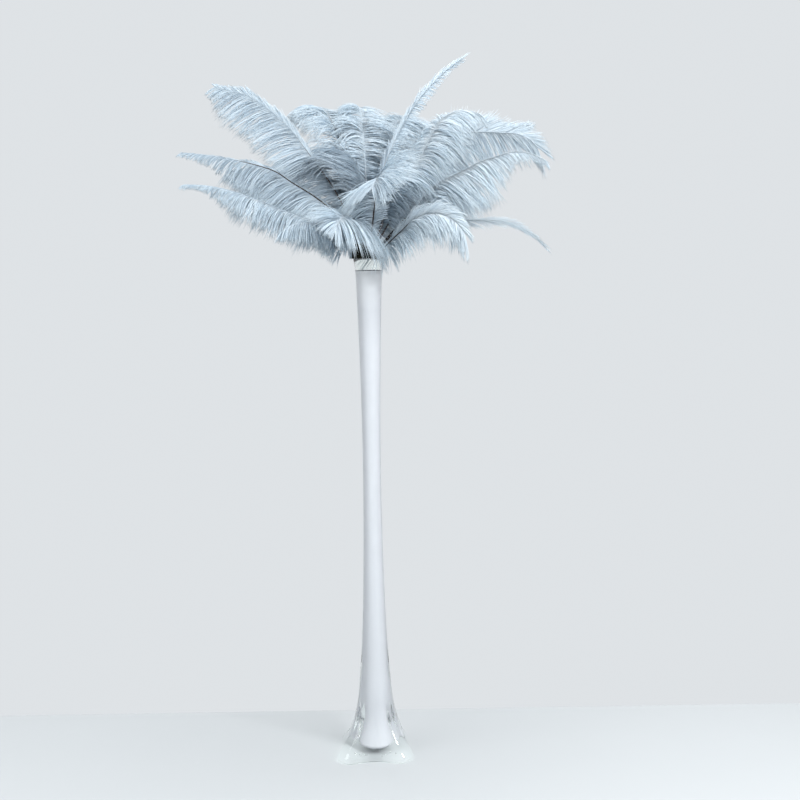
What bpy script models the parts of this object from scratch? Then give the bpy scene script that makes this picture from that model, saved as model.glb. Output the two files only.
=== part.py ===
"""Ostrich plumes poked into a foam dome on the mouth of a tall flared glass vase.

Metres, +Z up. The origin is the centre of the underside of the vase's foot, and the front is
towards -Y. Azimuths are degrees anticlockwise seen from above, with 0 towards +X (the right).
"""

import math
from dataclasses import dataclass

import bmesh
import bpy
import numpy as np

MM = 0.001

# The vase, turned round above and drawn out below into a foot with four toes.
VASE_HEIGHT = 700 * MM
ROUND_SEGMENTS = 28
SHARP_FROM = 50
TOE_START = math.radians(36)
TOE_CROWDING = 0.12
# Height, radius on the sides and radius at the toes, from the floor up, in mm.
VASE_OUTLINE = (
    (0, 40.0, 61.0),
    (3.5, 47.5, 66.5),
    (8, 48.0, 66.0),
    (13, 46.0, 63.0),
    (19, 43.0, 57.5),
    (28, 39.0, 49.5),
    (40, 34.5, 41.5),
    (58, 28.8, 34.0),
    (80, 24.4, 28.0),
    (114, 21.2, 21.8),
    (157, 18.0, 18.0),
    (213, 15.6, 15.6),
    (285, 13.7, 13.7),
    (427, 12.4, 12.4),
    (569, 14.6, 14.6),
    (640, 16.7, 16.7),
    (682, 18.6, 18.6),
    (697, 20.6, 20.6),
    (700, 21.0, 21.0),
)
# How far each toe is drawn out, anticlockwise from the back right one.
TOE_REACH = (0.5, 0.75, 1.08, 1.0)
# Height and radius of the hollow, from the mouth down to its round bottom, in mm.
HOLLOW_OUTLINE = (
    (700, 18.4),
    (682, 15.4),
    (640, 13.0),
    (569, 10.8),
    (427, 8.7),
    (285, 9.8),
    (213, 10.8),
    (157, 11.4),
    (114, 11.6),
    (80, 11.6),
    (45, 12.5),
    (30, 16.5),
    (20, 21.0),
    (14, 23.5),
    (11, 16.0),
)

# The foam: a dome that rests on the rim, and a plug that reaches down into the mouth.
FOAM_RADIUS = 26 * MM
FOAM_REST_GAP = 0.3 * MM
FOAM_EDGE = 2 * MM
PLUG_TOP_RADIUS = 16.6 * MM
PLUG_END_RADIUS = 14.0 * MM
PLUG_DEPTH = 16 * MM
DOME_RINGS = 5
DOME_START = 5
DOME_STEP = 19

# Every plume: a quill that thins to its tip, bare at first, with two vanes of locks.
QUILL_RADIUS = 1.5 * MM
TIP_RADIUS = 0.45 * MM
POKED_DEPTH = 10 * MM
HOLE_CLEARANCE = 0.35 * MM
CUTTER_LENGTH = 12 * MM
STRAIGHT_LENGTH = 8 * MM
BARE_LENGTH = 26 * MM
VANE_THICKNESS = 0.9 * MM
LOCKS = 7
FIRST_LOCK = 0.35
SHORT_LOCK = 0.80
SHORTEST_LOCK = 2.5
# Locks are shorter at the vane's start and full from FULL_FROM along it. From SPLAYS_FROM on they
# lean further forward or outward, until they reach the plume's splay at the tip.
FULL_FROM = 0.35
SPLAYS_FROM = 0.6
NEIGHBOUR_GAP = 5 * MM
BARE_RINGS = (0.0, 0.45, 0.94)
SPINE_STEPS = 48
CURVE_STEPS = 24
BARB_STEPS = 8
NOSE_RADIUS = 0.7 * MM
NOSE_LENGTH = 0.55
NOSE_DROOP = 0.3

FOAM_CENTRE = np.array((0.0, 0.0, VASE_HEIGHT + FOAM_REST_GAP))


@dataclass(frozen=True)
class Vane:
    """The locks on one side of a quill.

    sweep is how far they lean forward and fold how far they start below level, in degrees. hang
    is how strongly they bend down towards their ends, and share their length against the plume's.
    """

    sweep: float = 36.0
    fold: float = 28.0
    hang: float = 1.3
    share: float = 1.0


@dataclass(frozen=True)
class Plume:
    """One feather. Its profile is (reach, rise) from the middle of the mouth, in mm.

    azimuth is where it points and turn is how far it has swung round at its tip, in degrees.
    barb is the length of its longest locks in mm, base the share of it that they start with, and
    tip the share left at the very tip, which they shrink to between the two shares of the vane in
    shrinks. roll turns both vanes about the quill, and splay is how far the locks lean forward at
    the tip, in degrees. left and right are the vanes as seen along the quill from above.
    """

    name: str
    azimuth: float
    profile: tuple
    turn: float = 0.0
    barb: float = 78.0
    tip: float = 0.5
    shrinks: tuple = (0.6, 1.0)
    roll: float = 0.0
    left: Vane = Vane()
    right: Vane = Vane()
    base: float = 0.45
    splay: float = 74.0


PLUMES = (
    Plume("feather_left_high", 178, ((44, 92), (78, 141), (109, 181), (139, 207), (155, 218), (190, 230),
           (205, 234)), barb=66, tip=0.35, shrinks=(0.75, 1.0), roll=-50,
          left=Vane(sweep=30, fold=16, hang=0.7), right=Vane(sweep=72, fold=4, hang=0.1, share=0.48),
          base=0.12, splay=54),
    Plume("feather_left_mid", 191, ((47, 63), (74, 85), (103, 103), (126, 118), (150, 126), (181, 133),
           (218, 139), (248, 142)), barb=84, tip=0.14, shrinks=(0.3, 1.0), roll=-34,
          left=Vane(sweep=40, hang=1.2), right=Vane(sweep=50, fold=10, hang=0.3, share=0.4)),
    Plume("feather_left_low", 204, ((56, 39), (94, 55), (122, 64), (158, 78), (188, 88), (228, 96),
           (256, 97)), barb=56, tip=0.2, shrinks=(0.5, 0.95), roll=-10, left=Vane(hang=1.6),
          right=Vane(hang=1.6), base=0.9),
    Plume("feather_left_under", 226, ((60, 36), (100, 46), (132, 46), (152, 38)), barb=54, base=0.8),
    Plume("feather_front_left", 254, ((44, 34), (90, 50), (122, 50), (142, 34)), barb=88, tip=0.28,
          shrinks=(0.7, 1.0), roll=-24, left=Vane(sweep=14, fold=-16, hang=2.4, share=0.9),
          right=Vane(sweep=4, fold=0, hang=0.8, share=0.7), base=0.82, splay=74),
    Plume("feather_front_centre", 291, ((14, 36), (28, 68), (42, 92), (58, 104), (78, 102), (92, 90)),
          turn=-16, barb=80, tip=0.45, shrinks=(0.8, 1.0), roll=50, left=Vane(sweep=14, fold=4, hang=1.0),
          right=Vane(sweep=20, fold=-30, hang=1.0), base=0.85, splay=56),
    Plume("feather_front_right", 320, ((24, 9), (41, 23), (60, 36), (79, 49), (105, 56), (130, 54),
           (150, 45), (163, 32)), barb=86, tip=0.6, shrinks=(0.5, 1.0), roll=30,
          left=Vane(sweep=36, fold=-24, hang=0.9, share=0.5),
          right=Vane(sweep=62, fold=0, hang=1.6, share=0.9), base=0.66, splay=66),
    Plume("feather_right_tail", 8, ((60, 34), (86, 43), (117, 50), (142, 50), (168, 50), (194, 47),
           (220, 36), (241, 21)), barb=38, tip=0.7, left=Vane(sweep=68, fold=-20, hang=0.0),
          right=Vane(sweep=64, fold=30, hang=0.25), splay=78),
    Plume("feather_right_mid", 352, ((44, 41), (100, 100), (135, 117), (155, 127), (175, 133),
           (199, 139), (216, 138), (240, 128)), barb=84, tip=0.25, shrinks=(0.5, 0.85), roll=26,
          left=Vane(sweep=55, hang=0.3, share=0.5), right=Vane(hang=1.1)),
    Plume("feather_right_high", 28, ((38, 57), (68, 97), (110, 150), (154, 174), (190, 177), (220, 177),
           (247, 176), (270, 167), (280, 158)), barb=72, tip=0.7, shrinks=(0.8, 1.0), roll=60,
          left=Vane(sweep=66, fold=4, hang=0.1, share=0.9), right=Vane(sweep=30, hang=0.7), base=0.25,
          splay=66),
    Plume("feather_right_arch", 12, ((44, 102), (74, 134), (89, 164), (108, 190), (134, 201), (156, 198)),
          barb=76, roll=20, left=Vane(sweep=5, fold=0, hang=1.6, share=0.8),
          right=Vane(sweep=30, fold=10, hang=1.6), splay=60),
    Plume("feather_tall", 38, ((30, 128), (63, 182), (88, 214), (118, 243), (153, 270), (172, 281)),
          barb=32, tip=0.8, roll=50, left=Vane(sweep=80, fold=0, hang=0.1),
          right=Vane(sweep=36, fold=10, hang=0.7, share=0.5), splay=82),
    Plume("feather_centre_curl", 172, ((9, 106), (26, 139), (58, 150), (88, 141), (106, 124)), barb=74,
          tip=0.4, roll=-20, left=Vane(sweep=46, fold=34, hang=0.6),
          right=Vane(sweep=46, fold=30, hang=0.6), splay=45),
    Plume("feather_back_hook", 95, ((24, 106), (66, 170), (112, 209), (143, 220), (162, 214)), barb=84,
          tip=0.7, roll=30, left=Vane(sweep=30, fold=10, hang=1.3, share=0.7),
          right=Vane(sweep=10, fold=-24, hang=1.3), splay=35),
    Plume("feather_back_left_high", 117, ((46, 105), (90, 170), (130, 210), (172, 223), (204, 216)),
          barb=84, tip=0.75, roll=24, left=Vane(sweep=30, fold=4, hang=1.5, share=0.8),
          right=Vane(sweep=10, fold=-24, hang=1.5), splay=35),
    Plume("feather_back_right_high", 72, ((46, 105), (90, 162), (135, 196), (180, 203), (210, 190)),
          barb=84, tip=0.75, roll=24, left=Vane(sweep=24, fold=-4, hang=1.5, share=0.8),
          right=Vane(sweep=14, fold=-20, hang=1.5), splay=35),
    Plume("feather_back_right_low", 44, ((70, 54), (140, 88), (196, 98), (230, 92))),
    Plume("feather_back_low_right", 76, ((70, 44), (140, 72), (196, 80), (234, 68))),
    Plume("feather_back_low_left", 110, ((70, 46), (140, 74), (196, 82), (234, 70))),
    Plume("feather_back_left_low", 142, ((70, 56), (140, 92), (200, 108), (232, 104))),
    Plume("feather_back_right_mid", 56, ((56, 80), (108, 124), (166, 146), (214, 143))),
    Plume("feather_back_mid", 92, ((58, 80), (110, 128), (170, 150), (220, 144))),
    Plume("feather_back_left_mid", 128, ((56, 80), (108, 128), (166, 152), (218, 147))),
    Plume("feather_far_left_mid", 158, ((56, 70), (105, 106), (160, 127), (200, 129)), barb=86),
)


def through(points, count):
    """A smooth curve through the points, as count points evenly spaced along it."""
    points = np.array(points, float)
    spans = np.linalg.norm(np.diff(points, axis=0), axis=1)[:, None]
    slopes = np.diff(points, axis=0) / spans
    inner = (slopes[:-1] * spans[1:] + slopes[1:] * spans[:-1]) / (spans[1:] + spans[:-1])
    ends = np.vstack((slopes[:1], inner, 1.5 * slopes[-1:] - 0.5 * inner[-1:]))
    curve = []
    for start, end, leaving, arriving, span in zip(points, points[1:], ends, ends[1:], spans):
        for t in np.linspace(0, 1, CURVE_STEPS, endpoint=False):
            curve.append(start * (2 * t**3 - 3 * t**2 + 1) + end * (3 * t**2 - 2 * t**3)
                         + span * (leaving * (t**3 - 2 * t**2 + t) + arriving * (t**3 - t**2)))
    curve = np.array(curve + [points[-1]])
    along = np.append(0, np.cumsum(np.linalg.norm(np.diff(curve, axis=0), axis=1)))
    places = np.linspace(0, along[-1], count)
    return np.stack([np.interp(places, along, axis) for axis in curve.T], axis=1)


def unit(vectors):
    return vectors / np.linalg.norm(vectors, axis=-1, keepdims=True)


def smooth(value, start, end):
    """0 before start, 1 after end, and a smooth rise between them."""
    t = min(max((value - start) / (end - start), 0.0), 1.0)
    return t * t * (3 - 2 * t)


def spine_of(plume):
    """The plume's quill from its poked end to its tip: points, tangents, sides and faces."""
    azimuth = math.radians(plume.azimuth)
    longest = plume.profile[-1][0]
    route = []
    for reach, rise in plume.profile:
        angle = azimuth + math.radians(plume.turn) * (reach / longest) ** 2
        route.append(np.array((reach * MM * math.cos(angle), reach * MM * math.sin(angle),
                               VASE_HEIGHT + rise * MM)))
    outward = unit(route[0] - FOAM_CENTRE)
    straight = (FOAM_RADIUS - POKED_DEPTH, FOAM_RADIUS, FOAM_RADIUS + STRAIGHT_LENGTH)
    route = [FOAM_CENTRE + outward * distance for distance in straight] + route
    points = through(route, SPINE_STEPS)
    tangents = unit(np.gradient(points, axis=0))
    side = np.array((-math.sin(azimuth), math.cos(azimuth), 0.0))
    sides = unit(side - tangents * (tangents @ side)[:, None])
    faces = np.cross(tangents, sides)
    roll = math.radians(plume.roll)
    sides, faces = (sides * math.cos(roll) + faces * math.sin(roll),
                    faces * math.cos(roll) - sides * math.sin(roll))
    return points, tangents, sides, faces


def sample(rows, place):
    """A row between two others, at a place counted in rows."""
    low = min(int(place), len(rows) - 2)
    return rows[low] + (rows[low + 1] - rows[low]) * (place - low)


def lock_length(plume, along):
    """How long the locks are at a place along the vane, from 0 at its start to 1 at the tip."""
    growing = plume.base + (1 - plume.base) * smooth(along, 0.0, FULL_FROM)
    return plume.barb * MM * growing * (1 - (1 - plume.tip) * smooth(along, *plume.shrinks))


def lock_path(plume, spine, place, along, hand):
    """The points of one lock, from the quill out, on the left (1) or the right (-1)."""
    point, tangent, side, face = (sample(rows, place) for rows in spine)
    vane = plume.left if hand > 0 else plume.right
    sweep = math.radians(vane.sweep + (plume.splay - vane.sweep) * smooth(along, SPLAYS_FROM, 1.0))
    fold = math.radians(vane.fold)
    heading = (math.cos(sweep) * (hand * side * math.cos(fold) - face * math.sin(fold))
               + math.sin(sweep) * tangent)
    step = lock_length(plume, along) * vane.share / BARB_STEPS
    path = [point]
    for number in range(BARB_STEPS):
        sagging = heading + np.array((0, 0, -vane.hang * (number + 0.5) / BARB_STEPS))
        path.append(path[-1] + unit(sagging) * step)
    return np.array(path)


def free_share(path, spine, others):
    """How much of a lock stays nearer to its own quill than to any other plume's."""
    own = np.linalg.norm(path[:, None] - spine[0][None], axis=2).min(axis=1)
    near = np.linalg.norm(path[:, None] - others[None], axis=2).min(axis=1)
    for number in range(1, len(path)):
        if own[number] + NEIGHBOUR_GAP > near[number]:
            return (number - 1) / (len(path) - 1)
    return 1.0


def partway(path, share):
    """The point of a lock at a share of its length."""
    return sample(path, share * (len(path) - 1))


def quill_ring(point, side, face, radius):
    """Eight points round the bare quill, from its left side over the top."""
    angles = [math.pi - number * math.pi / 4 for number in range(8)]
    return [point + radius * (-side * math.cos(a) + face * math.sin(a)) for a in angles]


def vane_top(point, tangent, middle, tip, hand):
    """The way that the top of a vane faces halfway out, where its locks bend over."""
    inner, outer = (unit(hand * np.cross(tangent, run)) for run in (middle - point, tip - middle))
    return unit(inner + outer)


def vane_ring(spine, place, radius, left, right):
    """Eight points round both vanes: left tip, three on top, right tip and three below."""
    point, tangent, _, face = (sample(rows, place) for rows in spine)
    (left_mid, left_tip), (right_mid, right_tip) = left, right
    left_half, right_half = (vane_top(point, tangent, *run, hand) * VANE_THICKNESS / 2
                             for run, hand in ((left, 1), (right, -1)))
    return [left_tip, left_mid + left_half, point + face * radius, right_mid + right_half, right_tip,
            right_mid - right_half, point - face * radius, left_mid - left_half]


def plume_rings(plume, spine, others):
    """The rings of eight points that the feather's skin is stretched over.

    Locks alternate between full and short ones, and stop where they would reach another quill.
    """
    points, _, sides, faces = spine
    length = np.linalg.norm(np.diff(points, axis=0), axis=1).sum()
    last = len(points) - 1
    start = (POKED_DEPTH + BARE_LENGTH) / length * last
    rings = []
    for share in BARE_RINGS:
        place = share * start
        rings.append(quill_ring(*(sample(rows, place) for rows in (points, sides, faces)), QUILL_RADIUS))
    for number in range(2 * LOCKS):
        along = (number + FIRST_LOCK) / (2 * LOCKS - 1 + FIRST_LOCK)
        place = start + along * (last - start)
        radius = QUILL_RADIUS + (TIP_RADIUS - QUILL_RADIUS) * along
        vanes = []
        for hand in (1, -1):
            path = lock_path(plume, spine, place, along, hand)
            share = free_share(path, spine, others) * (1.0 if number % 2 else SHORT_LOCK)
            share = max(share, SHORTEST_LOCK * radius / lock_length(plume, along))
            vanes.append((partway(path, share * 0.5), partway(path, share)))
        rings.append(vane_ring(spine, place, radius, *vanes))
    rings.append(nose_ring(plume, spine))
    return rings


def nose_ring(plume, spine):
    """The small ring in front of the quill's tip, where the last locks come together."""
    point, tangent, side, face = (rows[-1] for rows in spine)
    ahead = unit(tangent + np.array((0, 0, -NOSE_DROOP))) * lock_length(plume, 1.0) * NOSE_LENGTH
    return quill_ring(point + ahead, side, face, NOSE_RADIUS)


def skin(name, rings):
    """A closed object stretched over rings of equally many points, with flat ends."""
    mesh = bmesh.new()
    loops = [[mesh.verts.new(point) for point in ring] for ring in rings]
    for low, high in zip(loops, loops[1:]):
        for number, (a, b) in enumerate(zip(low, high)):
            following = (number + 1) % len(low)
            mesh.faces.new((a, low[following], high[following], b))
    mesh.faces.new(reversed(loops[0]))
    mesh.faces.new(loops[-1])
    bmesh.ops.triangulate(mesh, faces=mesh.faces)
    bmesh.ops.recalc_face_normals(mesh, faces=mesh.faces)
    return finished(name, mesh)


def finished(name, mesh):
    """The bmesh as an object in the scene."""
    data = bpy.data.meshes.new(name)
    mesh.to_mesh(data)
    mesh.free()
    made = bpy.data.objects.new(name, data)
    bpy.context.scene.collection.objects.link(made)
    return made


def toe_shape(angle):
    """0 in the middle of a side of the foot and 1 at a toe, with straight sides between them."""
    from_side = min(abs((angle + math.pi / 4) % (math.pi / 2) - math.pi / 4), TOE_START)
    return (1 / math.cos(from_side) - 1) / (1 / math.cos(TOE_START) - 1)


def circle(height, radius, toe_radius=None):
    """A level ring. With a toe radius it bulges towards the foot's four toes."""
    toe_radius = radius if toe_radius is None else toe_radius
    ring = []
    for number in range(ROUND_SEGMENTS):
        turned = 2 * math.pi * (number + 0.5) / ROUND_SEGMENTS
        angle = turned + TOE_CROWDING * math.sin(4 * turned)
        drawn = TOE_REACH[int(turned / (math.pi / 2))] * toe_shape(angle)
        reach = radius + (toe_radius - radius) * drawn
        ring.append((reach * math.cos(angle), reach * math.sin(angle), height))
    return ring


def vase():
    """The outside from the floor up and over the rim, then the hollow down to its bottom."""
    rings = [circle(z * MM, side * MM, toe * MM) for z, side, toe in VASE_OUTLINE]
    rings += [circle(z * MM, radius * MM) for z, radius in HOLLOW_OUTLINE]
    return skin("vase", rings)


def foam(quills):
    """The dome with its plug, and a hole for each quill."""
    top = FOAM_CENTRE[2]
    rings = [circle(top - PLUG_DEPTH, PLUG_END_RADIUS), circle(top, PLUG_TOP_RADIUS)]
    rings += [circle(top, FOAM_RADIUS - FOAM_EDGE)]
    for step in range(DOME_RINGS):
        angle = math.radians(DOME_START + DOME_STEP * step)
        rings.append(circle(top + FOAM_RADIUS * math.sin(angle), FOAM_RADIUS * math.cos(angle)))
    dome = skin("foam", rings)
    for quill in quills:
        cut = dome.modifiers.new(quill.name, "BOOLEAN")
        cut.operation = "DIFFERENCE"
        cut.object = quill
    return dome


def hole_cutter(plume, spine):
    """A hidden rod a little wider than the poked end of the quill."""
    points, tangents, sides, faces = spine
    radius = QUILL_RADIUS + HOLE_CLEARANCE
    ends = (points[0] - tangents[0] * HOLE_CLEARANCE, points[0] + tangents[0] * CUTTER_LENGTH)
    cutter = skin("cut_" + plume.name, [quill_ring(end, sides[0], faces[0], radius) for end in ends])
    cutter.hide_render = True
    cutter.display_type = "WIRE"
    return cutter


def material(name, colour, roughness):
    made = bpy.data.materials.new(name)
    made.use_nodes = True
    shader = made.node_tree.nodes["Principled BSDF"]
    shader.inputs["Base Color"].default_value = (*colour, 1)
    shader.inputs["Roughness"].default_value = roughness
    shader.inputs["Metallic"].default_value = 0.0
    made.diffuse_color = (*colour, 1)
    return made


def dress(made, finish):
    made.data.materials.append(finish)
    made.data.shade_smooth()
    made.data.set_sharp_from_angle(angle=math.radians(SHARP_FROM))


def main():
    for existing in list(bpy.data.objects):
        bpy.data.objects.remove(existing)
    spines = [spine_of(plume) for plume in PLUMES]
    plume_finish = material("dusty_blue_plume", (0.42, 0.53, 0.62), 0.85)
    for number, (plume, spine) in enumerate(zip(PLUMES, spines)):
        others = np.vstack([other[0] for place, other in enumerate(spines) if place != number])
        dress(skin(plume.name, plume_rings(plume, spine, others)), plume_finish)
    cutters = [hole_cutter(plume, spine) for plume, spine in zip(PLUMES, spines)]
    dress(foam(cutters), material("olive_foam", (0.02, 0.022, 0.012), 0.95))
    dress(vase(), material("cased_glass", (0.86, 0.89, 0.93), 0.08))


main()
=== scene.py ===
"""Dresses the ostrich feather arrangement: fine barbs on every plume, cased glass and foam.

Metres, +Z up and the front towards -Y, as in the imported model. A plume's profile is given in
millimetres from the middle of the vase's mouth, and azimuths are degrees anticlockwise seen from
above, with 0 towards +X.
"""

import logging
import math
from collections.abc import Iterator
from contextlib import contextmanager
from dataclasses import dataclass, field
from enum import Enum

import bpy
import numpy as np
from mathutils import Matrix, Vector

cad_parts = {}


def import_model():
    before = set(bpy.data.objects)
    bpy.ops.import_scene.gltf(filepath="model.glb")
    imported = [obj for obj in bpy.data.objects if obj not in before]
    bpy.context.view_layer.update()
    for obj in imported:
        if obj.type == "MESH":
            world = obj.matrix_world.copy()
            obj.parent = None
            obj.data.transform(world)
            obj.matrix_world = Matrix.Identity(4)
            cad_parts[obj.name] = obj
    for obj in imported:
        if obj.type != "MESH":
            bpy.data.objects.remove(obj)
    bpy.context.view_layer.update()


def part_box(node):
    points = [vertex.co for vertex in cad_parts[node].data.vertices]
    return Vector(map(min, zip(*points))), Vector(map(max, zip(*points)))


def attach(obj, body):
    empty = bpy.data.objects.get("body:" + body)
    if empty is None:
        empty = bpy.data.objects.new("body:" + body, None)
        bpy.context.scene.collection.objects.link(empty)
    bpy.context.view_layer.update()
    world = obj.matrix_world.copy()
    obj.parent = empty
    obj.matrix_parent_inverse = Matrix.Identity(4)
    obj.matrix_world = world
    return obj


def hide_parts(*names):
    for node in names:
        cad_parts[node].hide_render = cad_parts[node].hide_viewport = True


MM = 0.001
BODY = "root"
PLUME_SLOT = "plume"
GLASS_SLOT = "vase_glass"
FOAM_SLOT = "foam"

log = logging.getLogger("ostrich_arrangement")


# ---------------------------------------------------------------- small helpers


def unit(vectors: np.ndarray) -> np.ndarray:
    """The vectors at length 1."""
    return vectors / np.linalg.norm(vectors, axis=-1, keepdims=True)


def smooth(value: np.ndarray, start: float, end: float) -> np.ndarray:
    """0 before start, 1 after end, and a smooth rise between them."""
    t = np.clip((np.asarray(value, float) - start) / (end - start), 0.0, 1.0)
    return t * t * (3 - 2 * t)


def curve_through(points: np.ndarray, steps: int, flick: float = 0.0) -> np.ndarray:
    """A smooth curve through points.

    Args:
        points: (points, axes), in order.
        steps: How many points each span gets.
        flick: How much the last span carries on bending at its end, against how it started.

    Returns:
        (points, axes) along the curve, down to the last of the points.
    """
    spans = np.linalg.norm(np.diff(points, axis=0), axis=1)[:, None]
    slopes = np.diff(points, axis=0) / spans
    inner = (slopes[:-1] * spans[1:] + slopes[1:] * spans[:-1]) / (spans[1:] + spans[:-1])
    ends = np.vstack((slopes[:1], inner, (1 + flick) * slopes[-1:] - flick * inner[-1:]))
    curve = []
    t = np.linspace(0, 1, steps, endpoint=False)[:, None]
    for start, end, leaving, arriving, span in zip(points, points[1:], ends, ends[1:], spans):
        curve.append(start * (2 * t**3 - 3 * t**2 + 1) + end * (3 * t**2 - 2 * t**3)
                     + span * (leaving * (t**3 - 2 * t**2 + t) + arriving * (t**3 - t**2)))
    return np.concatenate(curve + [points[-1:]])


def deselect_all() -> None:
    """Leaves nothing selected and no object in edit mode."""
    if bpy.context.object and bpy.context.object.mode != "OBJECT":
        bpy.ops.object.mode_set(mode="OBJECT")
    bpy.ops.object.select_all(action="DESELECT")


def fresh(name: str) -> bpy.types.Object:
    """Names the primitive that was just added, and puts its place and its scale into its mesh."""
    made = bpy.context.object
    made.name = name
    bpy.ops.object.transform_apply(location=True, rotation=True, scale=True)
    return made


@contextmanager
def editing(piece: bpy.types.Object) -> Iterator[None]:
    """Opens a piece in edit mode with all of it selected, and closes it again."""
    deselect_all()
    bpy.context.view_layer.objects.active = piece
    piece.select_set(True)
    bpy.ops.object.mode_set(mode="EDIT")
    bpy.ops.mesh.select_all(action="SELECT")
    yield
    bpy.ops.object.mode_set(mode="OBJECT")
    piece.select_set(False)


def show(piece: bpy.types.Object, slot: str, *nodes: str) -> bpy.types.Object:
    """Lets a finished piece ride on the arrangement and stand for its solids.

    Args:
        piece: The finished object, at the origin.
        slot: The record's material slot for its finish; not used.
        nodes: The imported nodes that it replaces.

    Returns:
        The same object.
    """
    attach(piece, BODY)
    if nodes:
        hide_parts(*nodes)
    return piece


def report(piece: bpy.types.Object) -> None:
    """Logs a piece's name and how many faces it has."""
    log.info("%s: %d faces", piece.name, len(piece.data.polygons))


# ---------------------------------------------------------------- shader effects


class Tree:
    """A node tree with short ways to add nodes and to join them."""

    def __init__(self, tree: bpy.types.NodeTree) -> None:
        """Takes the tree that nodes are added to."""
        self.nodes, self.links = tree.nodes, tree.links

    def put(self, socket: bpy.types.NodeSocket, value: object) -> None:
        """Links another socket to an input, or sets a number or a linear colour on it."""
        if isinstance(value, bpy.types.NodeSocket):
            self.links.new(value, socket)
        else:
            socket.default_value = (*value, 1.0) if isinstance(value, tuple) else value

    def node(self, kind: str, **values: object) -> bpy.types.Node:
        """Adds a shader node.

        Args:
            kind: Its type, without the ShaderNode before it.
            values: What its inputs take, with _ for a space in their names.

        Returns:
            The node.
        """
        node = self.nodes.new("ShaderNode" + kind)
        for name, value in values.items():
            self.put(node.inputs[name.replace("_", " ")], value)
        return node

    def math(self, operation: str, first: object, second: object,
             kind: str = "Math") -> bpy.types.NodeSocket:
        """What a Math or VectorMath node makes of two sockets or numbers."""
        node = self.node(kind)
        node.operation = operation
        self.put(node.inputs[0], first)
        self.put(node.inputs[1], second)
        return node.outputs[0]


class Effects:
    """Shader node groups that more than one finish uses. They put out masks and heights only."""

    def __init__(self) -> None:
        """Makes each group once."""
        self.mottle = self._mottle()
        self.fine_grain = self._fine_grain()

    @staticmethod
    def _start(name: str, inputs: dict[str, float], output: str) -> tuple:
        """Starts a group with float inputs and one float output.

        Args:
            name: The group's name.
            inputs: Each input's name and its value at first.
            output: The output's name.

        Returns:
            The group, its tree, the sockets that its inputs give and the one that it puts out.
        """
        group = bpy.data.node_groups.new(name, "ShaderNodeTree")
        for label, value in inputs.items():
            socket = group.interface.new_socket(label, in_out="INPUT", socket_type="NodeSocketFloat")
            socket.default_value = value
        group.interface.new_socket(output, in_out="OUTPUT", socket_type="NodeSocketFloat")
        given, result = group.nodes.new("NodeGroupInput"), group.nodes.new("NodeGroupOutput")
        return group, Tree(group), given.outputs, result.inputs[0]

    def _mottle(self) -> bpy.types.NodeTree:
        """Soft cloudy patches between 0 and 1, on object coordinates, drawn out in Z by Stretch."""
        values = {"Scale": 20.0, "Stretch": 1.0, "Contrast": 1.0}
        group, tree, given, result = self._start("mottle", values, "Mask")
        place = tree.node("TexCoord").outputs["Object"]
        squeeze = tree.node("CombineXYZ", X=1.0, Y=1.0, Z=given["Stretch"]).outputs[0]
        squeezed = tree.math("MULTIPLY", place, squeeze, "VectorMath")
        noise = tree.node("TexNoise", Vector=squeezed, Scale=given["Scale"], Detail=3.0)
        centred = tree.math("SUBTRACT", noise.outputs["Fac"], 0.5)
        mask = tree.math("ADD", tree.math("MULTIPLY", centred, given["Contrast"]), 0.5)
        mask.node.use_clamp = True
        tree.put(result, mask)
        return group

    def _fine_grain(self) -> bpy.types.NodeTree:
        """A fine cellular grain as a height between 0 and 1."""
        values = {"Scale": 900.0, "Roughness": 0.5}
        group, tree, given, result = self._start("fine_grain", values, "Height")
        place = tree.node("TexCoord").outputs["Object"]
        cells = tree.node("TexVoronoi", Vector=place, Scale=given["Scale"])
        noise = tree.node("TexNoise", Vector=place, Scale=given["Scale"], Detail=4.0)
        mix = tree.node("Mix")
        mix.data_type = "FLOAT"
        # A Mix node's float sockets are inputs 0, 2 and 3 and output 0.
        tree.put(mix.inputs[0], given["Roughness"])
        tree.put(mix.inputs[2], cells.outputs["Distance"])
        tree.put(mix.inputs[3], noise.outputs["Fac"])
        tree.put(result, mix.outputs[0])
        return group


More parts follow.
